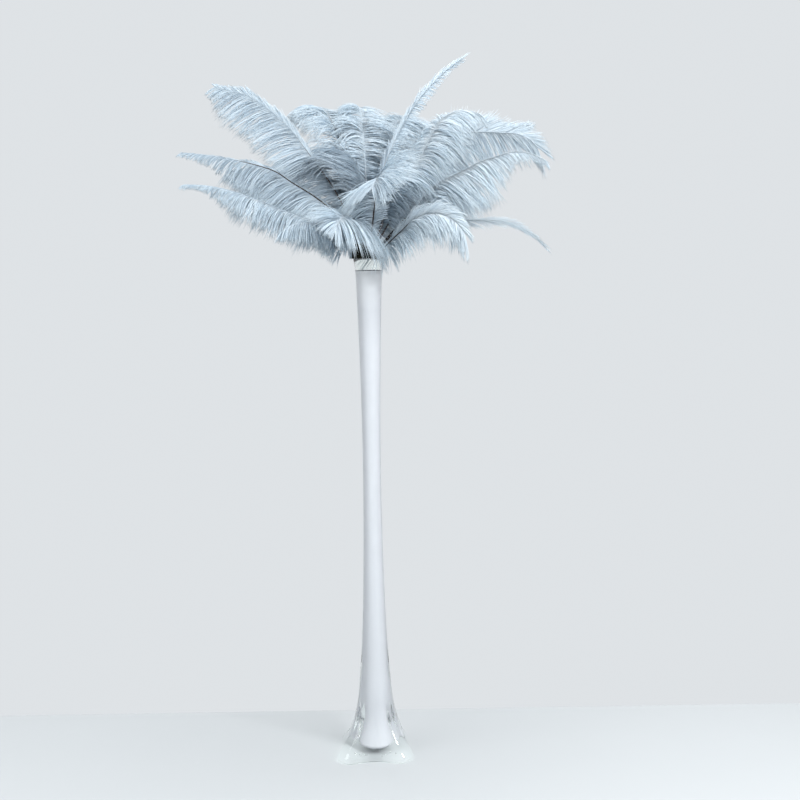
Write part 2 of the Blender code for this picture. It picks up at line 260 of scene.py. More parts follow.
class Sheet(Tree):
    """A material's node tree with short ways to add what the finishes need."""

    def __init__(self, name: str) -> None:
        """Starts an empty material with its output node."""
        self.material = bpy.data.materials.new(name)
        self.material.use_nodes = True
        super().__init__(self.material.node_tree)
        self.nodes.clear()
        self.output = self.node("OutputMaterial")

    def effect(self, group: bpy.types.NodeTree, **values: float) -> bpy.types.NodeSocket:
        """What an effect group puts out with its own values."""
        node = self.node("Group")
        node.node_tree = group
        for name, value in values.items():
            node.inputs[name].default_value = value
        return node.outputs[0]

    def attribute(self, name: str) -> bpy.types.NodeSocket:
        """The value of one of the piece's own attributes."""
        node = self.node("Attribute")
        node.attribute_name = name
        return node.outputs["Fac"]

    def height(self) -> bpy.types.NodeSocket:
        """How high a point lies, in metres, in the object's own coordinates."""
        place = self.node("TexCoord").outputs["Object"]
        return self.node("SeparateXYZ", Vector=place).outputs["Z"]

    def ramp(self, value: bpy.types.NodeSocket,
             stops: list[tuple[float, tuple]]) -> bpy.types.NodeSocket:
        """A colour for a value.

        Args:
            value: The socket to read.
            stops: Places from 0 to 1, each with its linear colour.

        Returns:
            The colour's socket.
        """
        node = self.node("ValToRGB", Fac=value)
        elements = node.color_ramp.elements
        while len(elements) < len(stops):
            elements.new(0.5)
        for element, (place, colour) in zip(elements, stops):
            element.position = place
            element.color = (*colour, 1.0)
        return node.outputs["Color"]

    def mix(self, factor: bpy.types.NodeSocket, first: object, second: object,
            blend: str = "MIX") -> bpy.types.NodeSocket:
        """Two colours mixed by a factor; either one can be a socket or a plain linear colour."""
        node = self.node("Mix")
        node.data_type = "RGBA"
        node.blend_type = blend
        # A Mix node's colour sockets are inputs 6 and 7 and output 2.
        self.put(node.inputs[0], factor)
        self.put(node.inputs[6], first)
        self.put(node.inputs[7], second)
        return node.outputs[2]

    def span(self, value: bpy.types.NodeSocket, low: float, high: float,
             start: float = 0.0, end: float = 1.0) -> bpy.types.NodeSocket:
        """A value from start to end spread between low and high."""
        node = self.node("MapRange", Value=value, From_Min=start, From_Max=end, To_Min=low,
                         To_Max=high)
        return node.outputs["Result"]

    def bump(self, height: bpy.types.NodeSocket, strength: float,
             distance: float) -> bpy.types.NodeSocket:
        """A bumped normal from a height."""
        node = self.node("Bump", Strength=strength, Distance=distance, Height=height)
        return node.outputs["Normal"]

    def blend(self, factor: object, first: bpy.types.Node, second: bpy.types.Node) -> bpy.types.Node:
        """Two shaders mixed by a factor, which can be a socket or a number."""
        node = self.node("MixShader", Fac=factor)
        self.put(node.inputs[1], first.outputs[0])
        self.put(node.inputs[2], second.outputs[0])
        return node

    def surface(self, shader: bpy.types.Node) -> bpy.types.Material:
        """Joins a shader to the output and gives the material."""
        self.put(self.output.inputs["Surface"], shader.outputs[0])
        return self.material


# ---------------------------------------------------------------- finishes


@dataclass(frozen=True)
class BarbFinish:
    """Dyed ostrich barbs: dusty blue, darker at the quill partly as painted shade, paler and thinner at
    their ends.
    """

    # root is partly painted shade, darkening the barbs where they crowd along the quill.
    root: tuple = (0.42, 0.53, 0.62)
    middle: tuple = (0.68, 0.80, 0.885)
    end: tuple = (0.82, 0.91, 0.965)
    dull: tuple = (0.52, 0.62, 0.70)
    bright: tuple = (0.90, 0.965, 1.0)
    deep: tuple = (0.60, 0.64, 0.68)
    roughness: float = 0.72
    glow: float = 0.38

    def build(self, effects: Effects) -> bpy.types.Material:
        """Makes the material."""
        sheet = Sheet("ostrich_barbs")
        stops = [(0.0, self.root), (0.35, self.middle), (1.0, self.end)]
        base = sheet.ramp(sheet.attribute("reach"), stops)
        patches = sheet.effect(effects.mottle, Scale=26.0, Contrast=1.6)
        patched = sheet.mix(sheet.span(patches, 0.0, 0.35), base, self.dull)
        # tone multiplies in deep where low and mixes in bright where high: partly random dye, partly
        # painted shade near the foam and painted light and shade set plume by plume.
        tone = sheet.attribute("tone")
        deeper = sheet.mix(sheet.span(tone, 1.0, 0.0, 0.0, 0.5), patched, self.deep, "MULTIPLY")
        toned = sheet.mix(sheet.span(tone, 0.0, 0.8, 0.3, 1.2), deeper, self.bright)
        rough = sheet.span(patches, self.roughness - 0.08, self.roughness + 0.1)
        grain = sheet.effect(effects.fine_grain, Scale=2600.0)
        shader = sheet.node("BsdfPrincipled", Sheen_Weight=0.25, Sheen_Roughness=0.5,
                            Specular_IOR_Level=0.3, Base_Color=toned, Roughness=rough,
                            Normal=sheet.bump(grain, 0.35, 0.0002))
        through = sheet.node("BsdfTranslucent", Color=toned)
        return sheet.surface(sheet.blend(self.glow, shader, through))


@dataclass(frozen=True)
class QuillFinish:
    """The quill's horn: near-black brown at the poked end, fading to the barbs' colour."""

    dark: tuple = (0.012, 0.009, 0.009)
    brown: tuple = (0.04, 0.031, 0.030)
    grey: tuple = (0.22, 0.25, 0.28)
    pale: tuple = (0.60, 0.71, 0.79)

    def build(self, effects: Effects) -> bpy.types.Material:
        """Makes the material."""
        sheet = Sheet("quill_horn")
        stops = [(0.0, self.dark), (0.3, self.brown), (0.65, self.grey), (1.0, self.pale)]
        base = sheet.ramp(sheet.attribute("pale"), stops)
        streaks = sheet.effect(effects.mottle, Scale=160.0, Contrast=1.5)
        grain = sheet.effect(effects.fine_grain, Scale=1500.0)
        shader = sheet.node("BsdfPrincipled", Specular_IOR_Level=0.35,
                            Base_Color=sheet.mix(sheet.span(streaks, 0.0, 0.3), base, self.brown),
                            Roughness=sheet.span(streaks, 0.32, 0.55),
                            Normal=sheet.bump(grain, 0.2, 0.0001))
        return sheet.surface(shader)


@dataclass(frozen=True)
class ClearGlassFinish:
    """Hand-drawn clear glass: faintly blue-green in the thick foot, with slow waves in its surface."""

    tint: tuple = (0.96, 0.985, 0.975)
    ior: float = 1.5
    absorbed: tuple = (0.80, 0.825, 0.828)
    density: float = 4.5

    def build(self, effects: Effects) -> bpy.types.Material:
        """Makes the material."""
        sheet = Sheet("clear_glass")
        waves = sheet.effect(effects.mottle, Scale=34.0, Stretch=0.25, Contrast=1.0)
        faint = sheet.mix(waves, self.tint, tuple(0.985 * part for part in self.tint))
        shader = sheet.node("BsdfPrincipled", IOR=self.ior, Transmission_Weight=1.0, Metallic=0.0,
                            Base_Color=faint, Roughness=sheet.span(waves, 0.0, 0.04),
                            Normal=sheet.bump(waves, 0.25, 0.002))
        clear = sheet.node("BsdfTransparent", Color=self.tint)
        inside = sheet.node("VolumeAbsorption", Color=self.absorbed, Density=self.density)
        sheet.put(sheet.output.inputs["Volume"], inside.outputs[0])
        shadow = sheet.node("LightPath").outputs["Is Shadow Ray"]
        return sheet.surface(sheet.blend(shadow, shader, clear))


@dataclass(frozen=True)
class WhiteGlassFinish:
    """The opaque white inner layer, with faint drawn streaks along the vase.

    It is painted paler from the height painted_light_from up to line_from, as painted light where
    the feathers shade the neck, and a thin grey line runs from line_from up to its top edge.
    """

    white: tuple = (0.50, 0.51, 0.545)
    streak: tuple = (0.475, 0.485, 0.525)
    line: tuple = (0.16, 0.18, 0.20)
    line_from: float = 683.1 * MM
    # fresh is painted light: a paler white near the mouth, where the feathers shade the neck.
    fresh: tuple = (0.68, 0.69, 0.725)
    line_soft: float = 0.2 * MM
    painted_light_from: float = 628 * MM

    def build(self, effects: Effects) -> bpy.types.Material:
        """Makes the material."""
        sheet = Sheet("white_glass")
        streaks = sheet.effect(effects.mottle, Scale=210.0, Stretch=0.03, Contrast=1.8)
        # Paler towards the mouth: painted light where the feathers shade the neck.
        near_mouth = sheet.span(sheet.height(), 0.0, 1.0, self.painted_light_from, self.line_from)
        drawn = sheet.mix(near_mouth, sheet.mix(streaks, self.white, self.streak), self.fresh)
        edge = sheet.span(sheet.height(), 0.0, 1.0, self.line_from, self.line_from + self.line_soft)
        shader = sheet.node("BsdfPrincipled", Specular_IOR_Level=0.4,
                            Base_Color=sheet.mix(edge, drawn, self.line),
                            Roughness=sheet.span(streaks, 0.28, 0.42))
        return sheet.surface(shader)


@dataclass(frozen=True)
class FoamFinish:
    """Dark olive open-cell foam, matt and full of small pits."""

    dark: tuple = (0.006, 0.007, 0.004)
    olive: tuple = (0.035, 0.036, 0.014)

    def build(self, effects: Effects) -> bpy.types.Material:
        """Makes the material."""
        sheet = Sheet("olive_foam")
        pits = sheet.effect(effects.fine_grain, Scale=950.0, Roughness=0.3)
        patches = sheet.effect(effects.mottle, Scale=120.0, Contrast=1.8)
        base = sheet.ramp(pits, [(0.05, self.olive), (0.6, self.dark)])
        shader = sheet.node("BsdfPrincipled", Specular_IOR_Level=0.15,
                            Base_Color=sheet.mix(sheet.span(patches, 0.0, 0.6), base, self.dark),
                            Roughness=sheet.span(patches, 0.85, 1.0),
                            Normal=sheet.bump(pits, 0.9, 0.001))
        return sheet.surface(shader)


@dataclass(frozen=True)
class TableFinish:
    """A plain pale table top with very faint clouding."""

    pale: tuple = (0.53, 0.555, 0.57)
    cloud: tuple = (0.51, 0.535, 0.55)

    def build(self, effects: Effects) -> bpy.types.Material:
        """Makes the material."""
        sheet = Sheet("pale_table")
        clouds = sheet.effect(effects.mottle, Scale=3.0, Contrast=1.2)
        shader = sheet.node("BsdfPrincipled", Specular_IOR_Level=0.25,
                            Base_Color=sheet.mix(clouds, self.pale, self.cloud),
                            Roughness=sheet.span(clouds, 0.45, 0.6))
        return sheet.surface(shader)


# ---------------------------------------------------------------- plumes


class QuillShade(Enum):
    """Where along a quill its dark horn starts and ends fading into the barbs' colour."""

    DARK = (0.52, 0.92)
    HALF = (0.43, 0.5)
    BROWN = (0.15, 0.75)
    GREY = (-0.35, 0.75)
    PALE = (-0.1, 0.42)
    HIDDEN = (-0.2, 0.2)


class Hand(Enum):
    """A side of a quill, seen along it from above, with 1 where its sides point."""

    LEFT = 1
    RIGHT = -1


@dataclass(frozen=True)
class Vane:
    """The barbs on one side of a quill.

    sweep is how far they lean forward and fold how far they start below level, in degrees. hang
    is how strongly they bend down towards their ends, and share their length against the plume's.
    """

    sweep: float = 36.0
    fold: float = 28.0
    hang: float = 1.3
    share: float = 1.0


@dataclass(frozen=True)
class Plume:
    """One feather, on the same quill line as its solid.

    azimuth is where it points and turn is how far it has swung round at its tip, in degrees.
    profile holds (reach, rise) from the middle of the mouth, in mm. barb is the length of its
    longest barbs in mm, and tip the share of it left at the very tip, which they shrink to
    between the two shares of the vane in shrinks. roll turns both vanes about the quill, in
    degrees. left and right are the vanes as seen along the quill from above. bare is how much of
    the quill is free of barbs outside the foam in mm, and base the share of their full length
    that they start with. splay is how far they lean forward at the tip in degrees, fluff how
    loose they are, spacing how far apart in mm, and tone how pale the barbs are painted, from 0
    for dull to 1: partly their dye, partly painted light and shade set plume by plume, as on the
    curl deep in the mass. painted_shade is how much darker they are painted near the foam, as
    painted shade where the plumes crowd together.
    """

    name: str
    azimuth: float
    profile: tuple
    turn: float = 0.0
    barb: float = 78.0
    tip: float = 0.5
    shrinks: tuple = (0.6, 1.0)
    roll: float = 0.0
    left: Vane = Vane()
    right: Vane = Vane()
    shade: QuillShade = QuillShade.BROWN
    bare: float = 26.0
    base: float = 0.45
    splay: float = 74.0
    fluff: float = 1.0
    spacing: float = 0.48
    tone: float = 0.5
    painted_shade: float = 0.0


@dataclass(frozen=True)
class Scatter:
    """How far the locks of a vane, or the barbs of a lock, stray from their even places.

    sweep and fold are spreads in degrees and curl the spread of how far they curl forward. hang
    and length hold the least and the most that those are multiplied by, and tone is the most that
    their dye is paler or duller.
    """

    sweep: float
    fold: float
    hang: tuple
    curl: float
    length: tuple
    tone: float


PLUMES = (
    Plume("feather_left_high", 178, ((44, 92), (78, 141), (109, 181), (139, 207), (155, 218),
           (190, 230), (205, 234)), barb=66, tip=0.35, shrinks=(0.75, 1.0), roll=-50,
          left=Vane(sweep=30, fold=16, hang=0.7), right=Vane(sweep=72, fold=4, hang=0.1, share=0.48),
          shade=QuillShade.BROWN, base=0.12, splay=54, fluff=0.5, spacing=0.38, painted_shade=0.45),
    Plume("feather_left_mid", 191, ((47, 63), (74, 85), (103, 103), (126, 118), (150, 126), (181, 133),
           (218, 139), (248, 142)), barb=84, tip=0.14, shrinks=(0.3, 1.0), roll=-34,
          left=Vane(sweep=40, hang=1.2), right=Vane(sweep=50, fold=10, hang=0.3, share=0.4),
          shade=QuillShade.DARK, bare=14, spacing=0.38, tone=0.42),
    Plume("feather_left_low", 204, ((56, 39), (94, 55), (122, 64), (158, 78), (188, 88), (228, 96),
           (256, 97)), barb=56, tip=0.2, shrinks=(0.5, 0.95), roll=-10, left=Vane(hang=1.6),
          right=Vane(hang=1.6), bare=8, base=0.9, shade=QuillShade.HIDDEN, spacing=0.42),
    Plume("feather_left_under", 226, ((60, 36), (100, 46), (132, 46), (152, 38)), barb=54, bare=8,
          base=0.8, shade=QuillShade.HIDDEN),
    Plume("feather_front_left", 254, ((44, 34), (90, 50), (122, 50), (142, 34)), barb=88, tip=0.28,
          shrinks=(0.7, 1.0), roll=-24, left=Vane(sweep=14, fold=-16, hang=2.4, share=0.9),
          right=Vane(sweep=4, fold=0, hang=0.8, share=0.7), shade=QuillShade.PALE, bare=3, base=0.82,
          splay=74, fluff=1.8, spacing=0.34, tone=0.56),
    Plume("feather_front_centre", 291, ((14, 36), (28, 68), (42, 92), (58, 104), (78, 102), (92, 90)),
          turn=-16, barb=80, tip=0.45, shrinks=(0.8, 1.0), roll=50,
          left=Vane(sweep=14, fold=4, hang=1.0), right=Vane(sweep=20, fold=-30, hang=1.0), bare=4,
          base=0.85, splay=56, spacing=0.26, tone=0.6, painted_shade=0.5),
    Plume("feather_front_right", 320, ((24, 9), (41, 23), (60, 36), (79, 49), (105, 56), (130, 54),
           (150, 45), (163, 32)), barb=86, tip=0.6, shrinks=(0.5, 1.0), roll=30,
          left=Vane(sweep=36, fold=-24, hang=0.9, share=0.5),
          right=Vane(sweep=62, fold=0, hang=1.6, share=0.9), shade=QuillShade.HALF, bare=4, base=0.66,
          splay=66, spacing=0.34, tone=0.8),
    Plume("feather_right_tail", 8, ((60, 34), (86, 43), (117, 50), (142, 50), (168, 50), (194, 47),
           (220, 36), (241, 21)), barb=38, tip=0.7, left=Vane(sweep=68, fold=-20, hang=0.0),
          right=Vane(sweep=64, fold=30, hang=0.25), shade=QuillShade.HIDDEN, splay=78, fluff=0.7,
          spacing=0.6, tone=1.15),
    Plume("feather_right_mid", 352, ((44, 41), (100, 100), (135, 117), (155, 127), (175, 133),
           (199, 139), (216, 138), (240, 128)), barb=84, tip=0.25, shrinks=(0.5, 0.85), roll=26,
          left=Vane(sweep=55, hang=0.3, share=0.5), right=Vane(hang=1.1), shade=QuillShade.PALE,
          bare=14, spacing=0.36, tone=0.8, painted_shade=0.6),
    Plume("feather_right_high", 28, ((38, 57), (68, 97), (110, 150), (154, 174), (190, 177), (220, 177),
           (247, 176), (270, 167), (280, 158)), barb=72, tip=0.7, shrinks=(0.8, 1.0), roll=60,
          left=Vane(sweep=66, fold=4, hang=0.1, share=0.9), right=Vane(sweep=30, hang=0.7),
          shade=QuillShade.GREY, base=0.25, splay=66, fluff=0.8, spacing=0.4, tone=0.65, painted_shade=0.3),
    Plume("feather_right_arch", 12, ((44, 102), (74, 134), (89, 164), (108, 190), (134, 201),
           (156, 198)), barb=76, roll=20, left=Vane(sweep=5, fold=0, hang=1.6, share=0.8),
          right=Vane(sweep=30, fold=10, hang=1.6), shade=QuillShade.GREY, splay=60, spacing=0.38,
          tone=0.85, painted_shade=0.9),
    Plume("feather_tall", 38, ((30, 128), (63, 182), (88, 214), (118, 243), (153, 270), (172, 281)),
          barb=32, tip=0.8, roll=50, left=Vane(sweep=80, fold=0, hang=0.1),
          right=Vane(sweep=36, fold=10, hang=0.7, share=0.5), shade=QuillShade.GREY, splay=82,
          fluff=0.45, spacing=0.9, tone=0.5, painted_shade=0.6),
    # The curl's low tone is painted shade, for its place deep inside the mass.
    Plume("feather_centre_curl", 172, ((9, 106), (26, 139), (58, 150), (88, 141), (106, 124)), barb=74,
          tip=0.4, roll=-20, left=Vane(sweep=46, fold=34, hang=0.6),
          right=Vane(sweep=46, fold=30, hang=0.6), shade=QuillShade.GREY, splay=45, spacing=0.4,
          tone=0.08),
    Plume("feather_back_hook", 95, ((24, 106), (66, 170), (112, 209), (143, 220), (162, 214)), barb=84,
          tip=0.7, roll=30, left=Vane(sweep=30, fold=10, hang=1.3, share=0.7),
          right=Vane(sweep=10, fold=-24, hang=1.3), shade=QuillShade.GREY, splay=35, fluff=2.1,
          spacing=0.36, tone=0.62, painted_shade=0.85),
    Plume("feather_back_left_high", 117, ((46, 105), (90, 170), (130, 210), (172, 223), (204, 216)),
          barb=84, tip=0.75, roll=24, left=Vane(sweep=30, fold=4, hang=1.5, share=0.8),
          right=Vane(sweep=10, fold=-24, hang=1.5), shade=QuillShade.DARK, splay=35, fluff=2.1,
          spacing=0.36, tone=0.62, painted_shade=0.7),
    Plume("feather_back_right_high", 72, ((46, 105), (90, 162), (135, 196), (180, 203), (210, 190)),
          barb=84, tip=0.75, roll=24, left=Vane(sweep=24, fold=-4, hang=1.5, share=0.8),
          right=Vane(sweep=14, fold=-20, hang=1.5), shade=QuillShade.HIDDEN, splay=35, fluff=2.1,
          spacing=0.36, tone=0.62, painted_shade=0.85),
    Plume("feather_back_right_low", 44, ((70, 54), (140, 88), (196, 98), (230, 92)), spacing=0.7),
    Plume("feather_back_low_right", 76, ((70, 44), (140, 72), (196, 80), (234, 68)), spacing=0.7),
    Plume("feather_back_low_left", 110, ((70, 46), (140, 74), (196, 82), (234, 70)), spacing=0.7),
    Plume("feather_back_left_low", 142, ((70, 56), (140, 92), (200, 108), (232, 104)), spacing=0.7),
    Plume("feather_back_right_mid", 56, ((56, 80), (108, 124), (166, 146), (214, 143)), spacing=0.6),
    Plume("feather_back_mid", 92, ((58, 80), (110, 128), (170, 150), (220, 144)), spacing=0.6),
    Plume("feather_back_left_mid", 128, ((56, 80), (108, 128), (166, 152), (218, 147)), spacing=0.6),
    Plume("feather_far_left_mid", 158, ((56, 70), (105, 106), (160, 127), (200, 129)), barb=86),
)


class TubeFinish(Enum):
    """What a feather's tubes are finished with, as the material slot on its mesh."""

    HORN = 0
    BARBS = 1


@dataclass
class Tubes:
    """Tapered tubes gathered into one mesh, with one value of each attribute for each point."""

    points: list = field(default_factory=list)
    faces: list = field(default_factory=list)
    materials: list = field(default_factory=list)
    values: dict = field(default_factory=lambda: {"reach": [], "tone": [], "pale": []})
    count: int = 0

    def add(self, paths: np.ndarray, radii: np.ndarray, across: np.ndarray, sides: int,
            finish: TubeFinish, flat: float = 1.0, **values: np.ndarray) -> None:
        """Adds closed tubes along paths, each ending in a point.

        Args:
            paths: (tubes, steps, 3) centre lines.
            radii: (tubes, steps) radii; the last one is not used.
            across: (tubes, 3) a direction for each tube that it does not run along.
            sides: How many sides each tube has.
            finish: What its faces are finished with.
            flat: How much wider than high the tubes are, with their height along across.
            values: (tubes, steps) values of the attributes that are not 0.
        """
        number, steps, _ = paths.shape
        along = unit(np.gradient(paths, axis=1))
        first = unit(np.cross(along, across[:, None])) * math.sqrt(flat)
        second = unit(np.cross(along, first)) / math.sqrt(flat)
        angles = np.arange(sides) * 2 * math.pi / sides
        ring = (first[:, :-1, None] * np.cos(angles)[:, None]
                + second[:, :-1, None] * np.sin(angles)[:, None])
        ring = paths[:, :-1, None] + ring * radii[:, :-1, None, None]
        per_tube = (steps - 1) * sides + 1
        points = np.concatenate([ring.reshape(number, -1, 3), paths[:, -1:]], axis=1)
        start = self.count + np.arange(number) * per_tube
        rows = np.arange(steps - 2)[:, None] * sides
        turn = np.arange(sides)[None]
        follow = (turn + 1) % sides
        low, low_next = (rows + turn).ravel(), (rows + follow).ravel()
        walls = np.concatenate([np.stack([low, low_next, low_next + sides], 1),
                                np.stack([low, low_next + sides, low + sides], 1)])
        last = (steps - 2) * sides
        cone = np.stack([last + turn[0], last + follow[0], np.full(sides, per_tube - 1)], 1)
        cap = np.stack([np.zeros(sides - 2, int), np.arange(2, sides), np.arange(1, sides - 1)], 1)
        pattern = np.concatenate([walls, cone, cap])
        self.points.append(points.reshape(-1, 3))
        self.faces.append((start[:, None, None] + pattern[None]).reshape(-1, 3))
        self.materials.append(np.full(number * len(pattern), finish.value))
        for name, rows_of in self.values.items():
            given = values.get(name, np.zeros((number, steps)))
            spread = np.concatenate([np.repeat(given[:, :-1], sides, axis=1), given[:, -1:]], axis=1)
            rows_of.append(spread.ravel())
        self.count += number * per_tube

    def object(self, name: str, materials: list) -> bpy.types.Object:
        """The tubes as one object with smooth faces."""
        points = np.concatenate(self.points)
        faces = np.concatenate(self.faces)
        mesh = bpy.data.meshes.new(name)
        mesh.vertices.add(len(points))
        mesh.vertices.foreach_set("co", points.astype(np.float32).ravel())
        mesh.loops.add(faces.size)
        mesh.loops.foreach_set("vertex_index", faces.astype(np.int32).ravel())
        mesh.polygons.add(len(faces))
        mesh.polygons.foreach_set("loop_start", np.arange(0, faces.size, 3, dtype=np.int32))
        for material in materials:
            mesh.materials.append(material)
        mesh.polygons.foreach_set("material_index", np.concatenate(self.materials).astype(np.int32))
        mesh.polygons.foreach_set("use_smooth", np.ones(len(faces), bool))
        for label, rows in self.values.items():
            attribute = mesh.attributes.new(label, "FLOAT", "POINT")
            attribute.data.foreach_set("value", np.concatenate(rows).astype(np.float32))
        mesh.update(calc_edges=True)
        mesh.validate()
        made = bpy.data.objects.new(name, mesh)
        bpy.context.scene.collection.objects.link(made)
        return made


@dataclass
class Feather:
    """One ostrich feather: its quill and the fine barbs of its two vanes, gathered in locks.

    Barbs lie against their lock's middle line by a share from gathered, growing between the two
    shares of their length in gathered_between, apart from the share loners of them. Two slow waves
    of wave_sweep and wave_fold degrees run along each vane. full_from and splay_from are shares of
    the vane: where the barbs reach their full length and where they start to lean forward.
    cover_rise and cover_start are how far barbs are lifted onto a pale quill and start across it,
    against its radius. stray is how far single barbs end from their place, and tip_flick how much
    the quill carries on bending at its tip.
    """

    plume: Plume
    mouth: Vector
    seed: int
    foam_radius: float = 26 * MM
    poked_depth: float = 10 * MM
    straight_length: float = 8 * MM
    quill_radius: float = 1.5 * MM
    tip_radius: float = 0.35 * MM
    spine_steps: int = 64
    curve_steps: int = 24
    tip_flick: float = 0.5
    barb_steps: int = 7
    barb_radius: float = 0.40 * MM
    barb_flatness: float = 3.0
    lock_width: float = 2.0 * MM
    full_from: float = 0.35
    splay_from: float = 0.6
    quill_taper: float = 0.95
    quill_sides: int = 8
    barb_sides: int = 3
    locks: Scatter = Scatter(2.2, 3.2, (0.87, 1.13), 0.25, (0.86, 1.06), 0.18)
    barbs: Scatter = Scatter(3.5, 5.0, (0.85, 1.2), 0.15, (0.84, 1.04), 0.25)
    wave_turns: tuple = (1.3, 2.9, 5.3)
    wave_sweep: float = 6.0
    wave_fold: float = 8.0
    gathered: tuple = (0.15, 0.65)
    gathered_between: tuple = (0.2, 1.1)
    loners: float = 0.08
    stray: float = 0.5 * MM
    barb_range: tuple = (0.7, 1.25)
    barb_taper: float = 0.75
    barb_taper_power: float = 1.6
    # Where along the vane the painted shade near the foam fades out.
    painted_shade_between: tuple = (0.05, 0.5)
    cover_rise: float = 0.9
    cover_start: float = 1.3

    def build(self) -> Tubes:
        """Makes the feather's quill and barbs."""
        self.random = np.random.default_rng(self.seed)
        self.points, self.tangents, self.sides, self.faces = self._spine()
        self.length = np.linalg.norm(np.diff(self.points, axis=0), axis=1).sum()
        tubes = Tubes()
        self._add_quill(tubes)
        for hand in Hand:
            self._add_vane(tubes, hand)
        return tubes

    def dress(self, tubes: Tubes, barbs: bpy.types.Material,
              horn: bpy.types.Material) -> bpy.types.Object:
        """Makes the object of the tubes, with horn on the quill, and puts it in place of its solid."""
        made = tubes.object(self.plume.name + "_barbs", [horn, barbs])
        return show(made, PLUME_SLOT, self.plume.name)

    def _route(self) -> np.ndarray:
        """The points that the quill runs through, from inside the foam to its tip."""
        azimuth = math.radians(self.plume.azimuth)
        longest = self.plume.profile[-1][0]
        centre = np.array(self.mouth)
        route = []
        for reach, rise in self.plume.profile:
            angle = azimuth + math.radians(self.plume.turn) * (reach / longest) ** 2
            route.append(centre + MM * np.array((reach * math.cos(angle), reach * math.sin(angle), rise)))
        outward = unit(route[0] - centre)
        straight = (self.foam_radius - self.poked_depth, self.foam_radius,
                    self.foam_radius + self.straight_length)
        return np.array([centre + outward * distance for distance in straight] + route)

    def _spine(self) -> tuple:
        """The quill as points, tangents, sides and faces, evenly spaced along it."""
        curve = curve_through(self._route(), self.curve_steps, self.tip_flick)
        along = np.append(0, np.cumsum(np.linalg.norm(np.diff(curve, axis=0), axis=1)))
        places = np.linspace(0, along[-1], self.spine_steps)
        points = np.stack([np.interp(places, along, axis) for axis in curve.T], axis=1)
        tangents = unit(np.gradient(points, axis=0))
        azimuth = math.radians(self.plume.azimuth)
        side = np.array((-math.sin(azimuth), math.cos(azimuth), 0.0))
        sides = unit(side - tangents * (tangents @ side)[:, None])
        faces = np.cross(tangents, sides)
        roll = math.radians(self.plume.roll)
        return (points, tangents, sides * math.cos(roll) + faces * math.sin(roll),
                faces * math.cos(roll) - sides * math.sin(roll))

    def _sample(self, rows: np.ndarray, shares: np.ndarray) -> np.ndarray:
        """Rows of the spine at shares of its length."""
        places = shares * (len(rows) - 1)
        return np.stack([np.interp(places, np.arange(len(rows)), axis) for axis in rows.T], axis=1)

    def _add_quill(self, tubes: Tubes) -> None:
        """Adds the quill, thinning to its tip, dark where the plume's shade says."""
        along = np.linspace(0, 1, len(self.points))
        pale = smooth(along, *self.plume.shade.value)
        tubes.add(self.points[None], self._thickness(along)[None], self.sides[:1], self.quill_sides,
                  TubeFinish.HORN, pale=pale[None])

    def _add_vane(self, tubes: Tubes, hand: Hand) -> None:
        """Adds the barbs of one vane."""
        start = (self.poked_depth + self.plume.bare * MM) / self.length
        vane_length = self.length * (1 - start)
        count = int(vane_length / (self.plume.spacing * MM))
        along = (np.arange(count) + self.random.uniform(0, 1, count)) / count
        locks = np.floor(along * vane_length / self.lock_width).astype(int)
        number = locks.max() + 1
        middle = (np.arange(number) + 0.5) * self.lock_width / vane_length
        wander, loose = self._wander(middle), self.plume.fluff
        lock = self._scattered(self.locks, np.clip(middle, 0, 1))
        lock["sweep"] = loose * (lock["sweep"] + self.wave_sweep * wander[0])
        lock["fold"] = loose * (lock["fold"] + self.wave_fold * wander[1])
        vane = self.plume.left if hand is Hand.LEFT else self.plume.right
        lock_paths = self._paths(lock, vane, hand, start)
        own = self._scattered(self.barbs, along)
        for name in ("sweep", "fold", "curl"):
            own[name] = lock[name][locks] + own[name]
        for name in ("hang", "length"):
            own[name] = lock[name][locks] * own[name]
        gather = self.random.uniform(*self.gathered, number)[locks]
        gather[self.random.uniform(0, 1, count) < self.loners] = 0.0
        paths = self._paths(own, vane, hand, start)
        reach = np.linspace(0, 1, self.barb_steps)
        pull = (gather[:, None] * smooth(reach, *self.gathered_between)[None])[:, :, None]
        shift = self.random.normal(0, self.stray, (count, 3))[:, None] * reach[None, :, None]
        paths = paths + (lock_paths[locks] - paths) * pull + shift
        place = start + along * (1 - start)
        paths += self._cover(place, paths)
        thinning = 1 - self.barb_taper * reach**self.barb_taper_power
        radii = self.barb_radius * thinning[None] * self.random.uniform(*self.barb_range, (count, 1))
        # The plume's tone, painted darker near the foam as painted shade, with random differences of dye
        # between locks and barbs.
        tone = self.plume.tone - self.plume.painted_shade * (1 - smooth(along, *self.painted_shade_between))
        tone = tone + (self.random.uniform(-self.locks.tone, self.locks.tone, number)[locks]
                       + self.random.uniform(-self.barbs.tone, self.barbs.tone, count))
        tubes.add(paths, radii, self._sample(self.faces, place), self.barb_sides, TubeFinish.BARBS,
                  self.barb_flatness, reach=np.repeat(reach[None], count, 0),
                  tone=np.repeat(tone[:, None], self.barb_steps, 1))

    def _scattered(self, scatter: Scatter, along: np.ndarray) -> dict:
        """Draws how far each lock or barb strays.

        Args:
            scatter: How far they may.
            along: Their places along the vane.

        Returns:
            The rows that _paths reads.
        """
        count = len(along)
        return {
            "along": along,
            "sweep": self.random.normal(0, scatter.sweep, count),
            "fold": self.random.normal(0, scatter.fold, count),
            "hang": self.random.uniform(*scatter.hang, count),
            "curl": self.random.normal(0, scatter.curl * self.plume.fluff, count),
            "length": self.random.uniform(*scatter.length, count),
        }

    def _thickness(self, along: np.ndarray) -> np.ndarray:
        """The quill's radius at shares of its length."""
        return self.tip_radius + (self.quill_radius - self.tip_radius) * (1 - along)**self.quill_taper

